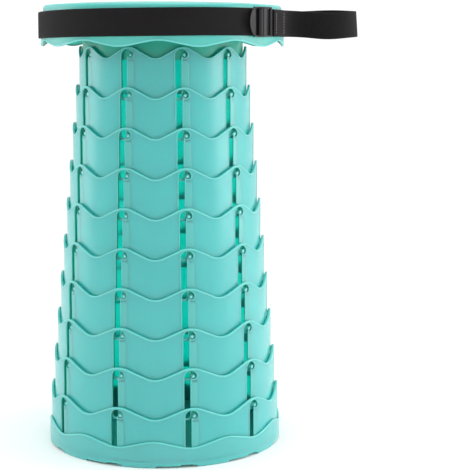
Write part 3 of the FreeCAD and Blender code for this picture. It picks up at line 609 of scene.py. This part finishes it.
def strap(name, pts, zmid, body, tilt=None, dz=None, closed=False, amp=0.085, width=STRAP_W, thick=STRAP_T):
    """Ribbed webbing along a plan path (millimetres), standing on edge.

    tilt(s) leans the strap outward at its foot, dz(s) lifts or lowers it."""
    n = len(pts)
    s = [0.0]
    for i in range(1, n):
        s.append(s[-1] + (pts[i] - pts[i - 1]).length)
    rows = 13
    prof = []
    h = width / 2
    r = thick / 2
    for j in range(rows):
        y = -h + r * 1.2 + (2 * h - 2.4 * r) * j / (rows - 1)
        prof.append((r, y, 1.0))
    prof.append((r * 0.72, h - r * 0.35, 0.3))
    prof.append((0.0, h, 0.0))
    prof.append((-r * 0.72, h - r * 0.35, 0.3))
    for j in range(rows):
        y = h - r * 1.2 - (2 * h - 2.4 * r) * j / (rows - 1)
        prof.append((-r, y, 1.0))
    prof.append((-r * 0.72, -h + r * 0.35, 0.3))
    prof.append((0.0, -h, 0.0))
    prof.append((r * 0.72, -h + r * 0.35, 0.3))
    m = len(prof)
    verts, uv, faces = [], [], []
    total = s[-1]
    for i in range(n):
        if closed:
            t = (pts[(i + 1) % n] - pts[i - 1]).normalized()
        else:
            t = (pts[min(i + 1, n - 1)] - pts[max(i - 1, 0)]).normalized()
        o = Vector((t.y, -t.x, 0.0))
        lean = tilt(s[i] / total) if tilt else 0.0
        lift = dz(s[i] / total) if dz else 0.0
        for (x, y, mask) in prof:
            # selvedges are flatter than the middle of the weave
            edge = min(1.0, (h - abs(y)) / 2.2)
            bump = amp * mask * edge * math.cos(2 * math.pi * s[i] / RIB)
            side = 1.0 if x > 0 else -1.0
            # very shallow ridge down each selvedge
            sel = 0.05 * math.exp(-((h - abs(y) - 1.5) / 0.5) ** 2) * mask
            off = x + side * (bump + sel) + lean * (-y / h)
            p = pts[i] + o * off
            verts.append(Vector((p.x, p.y, zmid + y + lift)) * MM)
            uv.append((s[i], y))
    last = n if closed else n - 1
    for i in range(last):
        j = (i + 1) % n
        for k in range(m):
            l = (k + 1) % m
            faces.append((i * m + k, j * m + k, j * m + l, i * m + l))
    if not closed:
        faces.append(tuple(range(m)))
        faces.append(tuple((n - 1) * m + k for k in range(m))[::-1])
    ob = make_object(name, verts, faces, WEB, uv=uv)
    fix_normals(ob)
    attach(ob, body)
    return ob


def smooth01(x):
    x = max(0.0, min(1.0, x))
    return x * x * (3 - 2 * x)


BELT_Z = 415.4 + 26.3 / 2


def belt_radius(a):
    """Middle of the belt's thickness; it hugs the lid near the buckle and the
    handle and stands a little off it elsewhere."""
    d = abs((a - 92.0 + 180.0) % 360.0 - 180.0)
    loose = smooth01((d - 62.0) / 60.0)
    wob = 0.10 * math.sin(rad(5 * a + 40)) + 0.06 * math.sin(rad(11 * a))
    return 123.625 + loose * (0.75 + wob)


count = int(round(2 * math.pi * 124.3 / RIB))
steps = count * 6
belt_pts = []
for i in range(steps):
    a = 360.0 * i / steps
    belt_pts.append(polar(belt_radius(a), a, 0.0))
# rib pitch is exact round the closed belt
length = sum((belt_pts[i] - belt_pts[i - 1]).length for i in range(steps))
RIB_SAVED, RIB = RIB, length / count


def belt_lift(f):
    """The belt hangs a little low on the left and rides up beside the buckle."""
    a = (360.0 * f + 180.0) % 360.0 - 180.0
    return 1.0 * math.exp(-((a - 28.0) / 32.0) ** 2) - 2.1 * math.exp(-((a + 85.0) / 40.0) ** 2)


belt_ob = strap("belt_weave", belt_pts, BELT_Z, "seat", closed=True,
                tilt=lambda f: 0.08 * math.sin(2 * math.pi * 3 * f), dz=belt_lift)
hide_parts("belt_webbing")
RIB = RIB_SAVED


def arc_points(chain, spacing=0.26):
    pts = []
    for (cx, cy, r, a, b) in chain:
        n = max(4, int(abs(rad(b - a)) * r / spacing))
        for i in range(n + 1):
            if i == 0 and pts:
                continue
            t = rad(a + (b - a) * i / n)
            pts.append(Vector((cx + r * math.cos(t), cy + r * math.sin(t), 0.0)))
    return pts


RB, R1, R2 = 125.1, 29.0, 20.0
C1 = 198.0 - R1
THETA = math.degrees(math.asin(((R1 + R2) ** 2 + C1 ** 2 - (RB + R2) ** 2) / (2 * C1 * (R1 + R2))))
NX = (R1 + R2) * math.cos(rad(THETA))
NY = C1 - (R1 + R2) * math.sin(rad(THETA))
FOOT = math.degrees(math.atan2(NY, NX))
chain = [
    (0, 0, RB, 90 - 32.4, FOOT),
    (NX, NY, R2, FOOT + 180, 180 - THETA),
    (0, C1, R1, -THETA, 180 + THETA),
    (-NX, NY, R2, THETA, -FOOT),
    (0, 0, RB, 180 - FOOT, 90 + 27.0),
]
loop = arc_points(chain)
# soften the joins between the arcs, as webbing has no sudden change of bend
for _ in range(220):
    q = [p.copy() for p in loop]
    for i in range(1, len(loop) - 1):
        if math.hypot(loop[i].x, loop[i].y) > RB + 0.4:
            q[i] = loop[i] * 0.5 + (loop[i - 1] + loop[i + 1]) * 0.25
    loop = q
spin = Matrix.Rotation(rad(92.0 - 180.0), 4, "Z")
loop = [spin @ p for p in loop]


def handle_lift(f):
    """The near limb sags in its middle, the far limb stands up a little."""
    near = math.exp(-((f - 0.335) / 0.085) ** 2)
    far = math.exp(-((f - 0.665) / 0.10) ** 2)
    return -2.4 * near + 1.6 * far


handle_ob = strap("handle_weave", loop, BELT_Z, "seat",
                  tilt=lambda f: 0.9 * math.sin(math.pi * smooth01((f - 0.15) / 0.7)) ,
                  dz=handle_lift)
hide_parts("carry_handle")

lift = 124.0 + 7.0 - 90.0
tail_chain = [
    (0, 0, RB, 147.0 - 90, lift),
    ((RB + 18) * math.cos(rad(lift)), (RB + 18) * math.sin(rad(lift)), 18.0, lift + 180, lift + 220),
]
tail_ob = strap("tail_weave", arc_points(tail_chain)[::-1], BELT_Z, "seat")
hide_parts("belt_tail")


# thread: short rounded stitches lying in the weave
def stitches(name, lines, replaces=None, thick=0.34, mat=None):
    verts, faces = [], []
    seg = 8
    for (r, a0, z0, a1, z1, pitch) in lines:
        run = math.hypot(rad(a1 - a0) * r, z1 - z0)
        count = max(1, int(run / pitch))
        for i in range(count):
            f0 = (i + 0.12 + random.uniform(-0.04, 0.04)) / count
            f1 = (i + 0.88 + random.uniform(-0.04, 0.04)) / count
            start = len(verts)
            rings = 7
            for j in range(rings):
                u = j / (rings - 1)
                f = f0 + (f1 - f0) * u
                a, z = a0 + (a1 - a0) * f, z0 + (z1 - z0) * f
                o = polar(1.0, a, 0.0)
                tan = Vector((-o.y, o.x, 0.0))
                d = (tan * (rad(a1 - a0) * r) + Vector((0, 0, z1 - z0))).normalized()
                side = o.cross(d)
                hump = math.sin(math.pi * u)
                rr = thick * (0.35 + 0.65 * hump ** 0.5)
                c = polar(r + 0.02 + 0.14 * hump, a, z)
                for k in range(seg):
                    t = 2 * math.pi * k / seg
                    verts.append((c + o * (rr * math.cos(t)) + side * (rr * math.sin(t))) * MM)
            for j in range(rings - 1):
                for k in range(seg):
                    l = (k + 1) % seg
                    faces.append((start + j * seg + k, start + (j + 1) * seg + k,
                                  start + (j + 1) * seg + l, start + j * seg + l))
            faces.append(tuple(start + k for k in range(seg))[::-1])
            faces.append(tuple(start + (rings - 1) * seg + k for k in range(seg)))
    ob = make_object(name, verts, faces, mat or THREAD, uv=[(v.x * 1000, v.z * 1000) for v in verts])
    fix_normals(ob)
    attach(ob, "seat")
    if replaces:
        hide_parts(replaces)
    return ob


RS = RB + STRAP_T / 2 + 0.05
zl, zh = 418.2, 438.9


def box_lines(a0, a1, pitch, cross=True):
    lines = [(RS, a0, zl, a1, zl, pitch), (RS, a0, zh, a1, zh, pitch)]
    if cross:
        lines += [(RS, a0, zl, a0, zh, pitch), (RS, a1, zl, a1, zh, pitch),
                  (RS, a0, zl, a1, zh, pitch), (RS, a0, zh, a1, zl, pitch)]
    return lines


stitches("front_stitching", [(RS, 61.9, zl, 61.9, zh, 2.3), (RS, 72.4, zl, 72.4, zh, 2.3)],
         "handle_stitching", thick=0.36)
stitches("front_side_stitching", box_lines(62.6, 71.8, 2.3, False), thick=0.26, mat=THREAD_DARK)
stitches("back_stitching", box_lines(110.2, 117.6, 2.4), thick=0.28, mat=THREAD_DARK)
stitches("tail_stitching", box_lines(138.0, 145.6, 2.4), thick=0.28, mat=THREAD_DARK)


# ------------------------------------------------------------------ the buckle
BUCKLE_A = 47.8
B_OUT = polar(1.0, BUCKLE_A, 0.0)
B_TAN = Vector((-B_OUT.y, B_OUT.x, 0.0))
B_ORG = B_OUT * 124.85 + Vector((0, 0, BELT_Z + 0.9))


def bpt(t, h, z):
    """Buckle point: t along the belt, h outward, z up from the belt's middle."""
    return (B_ORG + B_TAN * t + B_OUT * h + Vector((0, 0, z))) * MM


def loft(sections):
    """Closed sections joined one after another, ends closed."""
    m = len(sections[0])
    verts = [p for s in sections for p in s]
    faces = []
    for i in range(len(sections) - 1):
        for k in range(m):
            l = (k + 1) % m
            faces.append((i * m + k, (i + 1) * m + k, (i + 1) * m + l, i * m + l))
    faces.append(tuple(range(m))[::-1])
    faces.append(tuple((len(sections) - 1) * m + k for k in range(m)))
    return verts, faces


def rounded_rect(w, h, r, n=4):
    """Corner points of a rounded rectangle, centred."""
    pts = []
    for (sx, sy, a0) in ((1, 1, 0), (-1, 1, 90), (-1, -1, 180), (1, -1, 270)):
        cx, cy = sx * (w / 2 - r), sy * (h / 2 - r)
        for i in range(n + 1):
            t = rad(a0 + 90.0 * i / n)
            pts.append((cx + r * math.cos(t), cy + r * math.sin(t)))
    return pts


def add(parts, vf):
    v, f = vf
    o = len(parts[0])
    parts[0].extend(v)
    parts[1].extend([tuple(o + i for i in face) for face in f])


frame_parts = ([], [])
HZ = 14.3
# upper and lower side rails, arched outward over the grip
for side in (1, -1):
    secs = []
    for i in range(33):
        t = -9.3 + (16.9 + 9.3) * i / 32
        u = (t + 9.3) / 26.2
        arch = 2.5 + 2.5 * math.sin(math.pi * min(1.0, max(0.0, (u - 0.12) / 0.82))) ** 1.2
        wide = 1.55 if 0 < i < 32 else 1.2
        zc = side * (HZ - 0.8)
        sec = []
        for (x, y) in rounded_rect(arch, wide, 0.45):
            sec.append(bpt(t, arch / 2 + x, zc + y))
        secs.append(sec)
    add(frame_parts, loft(secs))
# right-hand bar, a round rod between the rails
secs = []
for i in range(17):
    z = -HZ + 0.35 + (2 * HZ - 0.7) * i / 16
    sec = []
    for q in range(16):
        a = 2 * math.pi * q / 16
        sec.append(bpt(15.7 + 1.25 * math.cos(a), 1.35 + 1.25 * math.sin(a), z))
    secs.append(sec)
add(frame_parts, loft(secs))
# left-hand bar under the thumb plate
secs = []
for i in range(17):
    z = -HZ + 0.35 + (2 * HZ - 0.7) * i / 16
    sec = []
    for q in range(16):
        a = 2 * math.pi * q / 16
        sec.append(bpt(-8.6 + 1.3 * math.cos(a), 1.4 + 1.2 * math.sin(a), z))
    secs.append(sec)
add(frame_parts, loft(secs))
buckle_frame = make_object("buckle_frame_detail", frame_parts[0], frame_parts[1], BLACK)
fix_normals(buckle_frame)
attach(buckle_frame, "seat")
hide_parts("strap_buckle")

# ribbed grip: a crowned plate with grooves, from rail to rail
secs = []
N = 41
for i in range(25):
    z = -HZ + 1.0 + (2 * HZ - 2.0) * i / 24
    top, bot = [], []
    for j in range(N):
        u = j / (N - 1)
        t = -2.2 + 12.4 * u
        crown = 2.2 + 2.5 * math.sin(math.pi * u) ** 0.8
        groove = 0.34 * (0.5 - 0.5 * math.cos(2 * math.pi * 4 * u)) if 0.06 < u < 0.97 else 0.0
        top.append(bpt(t, crown - 0.34 + groove, z))
        bot.append(bpt(t, max(0.75, crown - 2.1), z))
    secs.append(top + bot[::-1])
grip = make_object("buckle_grip_detail", *loft(secs), BLACK)
fix_normals(grip)
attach(grip, "seat")

# half-moon thumb plate, tipped away from the belt
verts, faces = [], []
rows, cols = 29, 13
for side in (0, 1):
    for i in range(rows):
        v = -1 + 2 * i / (rows - 1)
        zz = 14.1 * v
        far = 9.6 * (1 - abs(v) ** 2.3) + 0.6
        for j in range(cols):
            u = j / (cols - 1)
            t = -8.4 - far * u
            h = 1.5 + 2.3 * (far * u / 10.2) + (0.75 if side == 0 else -0.75) * math.sqrt(max(0.0, 1 - (2 * max(0.0, u - 0.80) / 0.4) ** 2)) * (1 - 0.25 * u)
            h += 0.18 * math.cos(2 * math.pi * far * u / 1.9) * (1 if side == 0 else 0) * (0 if u > 0.82 or u < 0.1 else 1)
            verts.append(bpt(t, h, zz))
n = rows * cols
for i in range(rows - 1):
    for j in range(cols - 1):
        p = i * cols + j
        faces.append((p, p + 1, p + cols + 1, p + cols))
        faces.append((n + p, n + p + cols, n + p + cols + 1, n + p + 1))
for i in range(rows - 1):
    for j in (0, cols - 1):
        p = i * cols + j
        faces.append((p, p + cols, n + p + cols, n + p))
for j in range(cols - 1):
    for i in (0, rows - 1):
        p = i * cols + j
        faces.append((p, p + 1, n + p + 1, n + p))
plate = make_object("buckle_thumb_plate", verts, faces, BLACK)
bm = bmesh.new()
bm.from_mesh(plate.data)
bmesh.ops.remove_doubles(bm, verts=bm.verts, dist=0.00001)
bmesh.ops.recalc_face_normals(bm, faces=bm.faces)
bm.to_mesh(plate.data)
bm.free()
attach(plate, "seat")


# ------------------------------------------------------------------ the studio
def floor_material():
    m, nt, bsdf = new_material("studio_floor")
    tc = node(nt, "ShaderNodeTexCoord", -700, 0)
    nz = node(nt, "ShaderNodeTexNoise", -450, 0, Scale=3.0, Detail=2.0)
    nt.links.new(tc.outputs["Object"], nz.inputs["Vector"])
    cr = ramp(nt, (0.95, 0.95, 0.95, 1), (0.96, 0.96, 0.96, 1), 0.3, 0.7, -200, 0)
    nt.links.new(nz.outputs["Fac"], cr.inputs["Fac"])
    nt.links.new(cr.outputs["Color"], bsdf.inputs["Base Color"])
    bsdf.inputs["Roughness"].default_value = 0.75
    return m


verts, faces = [], []
SIZE = 14.0
nseg = 24
for i in range(nseg + 1):
    for j in range(nseg + 1):
        verts.append((-SIZE + 2 * SIZE * i / nseg, -SIZE + 2 * SIZE * j / nseg, 0.0))
for i in range(nseg):
    for j in range(nseg):
        p = i * (nseg + 1) + j
        faces.append((p, p + nseg + 1, p + nseg + 2, p + 1))
floor = make_object("floor", verts, faces, floor_material(), smooth=False)

world = bpy.data.worlds.new("studio")
bpy.context.scene.world = world
world.use_nodes = True
wn = world.node_tree
wn.nodes.clear()
wo = wn.nodes.new("ShaderNodeOutputWorld")
wb = wn.nodes.new("ShaderNodeBackground")
wb.inputs["Color"].default_value = (1.0, 1.0, 1.0, 1.0)
wb.inputs["Strength"].default_value = 1.06
wn.links.new(wb.outputs["Background"], wo.inputs["Surface"])


def softbox(name, loc, target, size, power, size_y=None):
    l = bpy.data.lights.new(name, "AREA")
    l.shape = "RECTANGLE"
    l.size = size
    l.size_y = size_y or size
    l.energy = power
    o = bpy.data.objects.new(name, l)
    o.location = loc
    d = Vector(target) - Vector(loc)
    o.rotation_euler = d.to_track_quat("-Z", "Y").to_euler()
    bpy.context.scene.collection.objects.link(o)
    return o


softbox("right_softbox", (1.45, -0.10, 0.45), (0, 0, 0.25), 1.0, 11.0, 1.3)
softbox("left_softbox", (-1.5, 0.45, 0.45), (0, 0, 0.22), 0.8, 5.0, 1.3)
softbox("top_softbox", (0.1, -0.3, 1.8), (0, 0, 0.3), 1.0, 6.0)

# ------------------------------------------------------------------ the camera
F_PX = 1362.73
yaw, pitch, roll = rad(2.6868), rad(8.0914), rad(0.0737)
new_f = Vector((math.sin(yaw) * math.cos(pitch), math.cos(yaw) * math.cos(pitch), -math.sin(pitch)))
flat_r = new_f.cross(Vector((0.0, 0.0, 1.0))).normalized()
flat_u = flat_r.cross(new_f)
new_r = flat_r * math.cos(roll) + flat_u * math.sin(roll)
new_u = flat_u * math.cos(roll) - flat_r * math.sin(roll)
cam_data = bpy.data.cameras.new("camera")
cam_data.sensor_width = 36.0
cam_data.lens = F_PX / 470.0 * 36.0
cam_data.clip_start = 0.05
cam_data.clip_end = 60.0
cam = bpy.data.objects.new("camera", cam_data)
bpy.context.scene.collection.objects.link(cam)
m = Matrix((new_r, new_u, -new_f)).transposed().to_4x4()
m.translation = Vector((0.007896, -1.400297, 0.411024))
cam.matrix_world = m
bpy.context.scene.camera = cam
bpy.context.scene.view_settings.view_transform = "Standard"
bpy.context.scene.view_settings.look = "None"
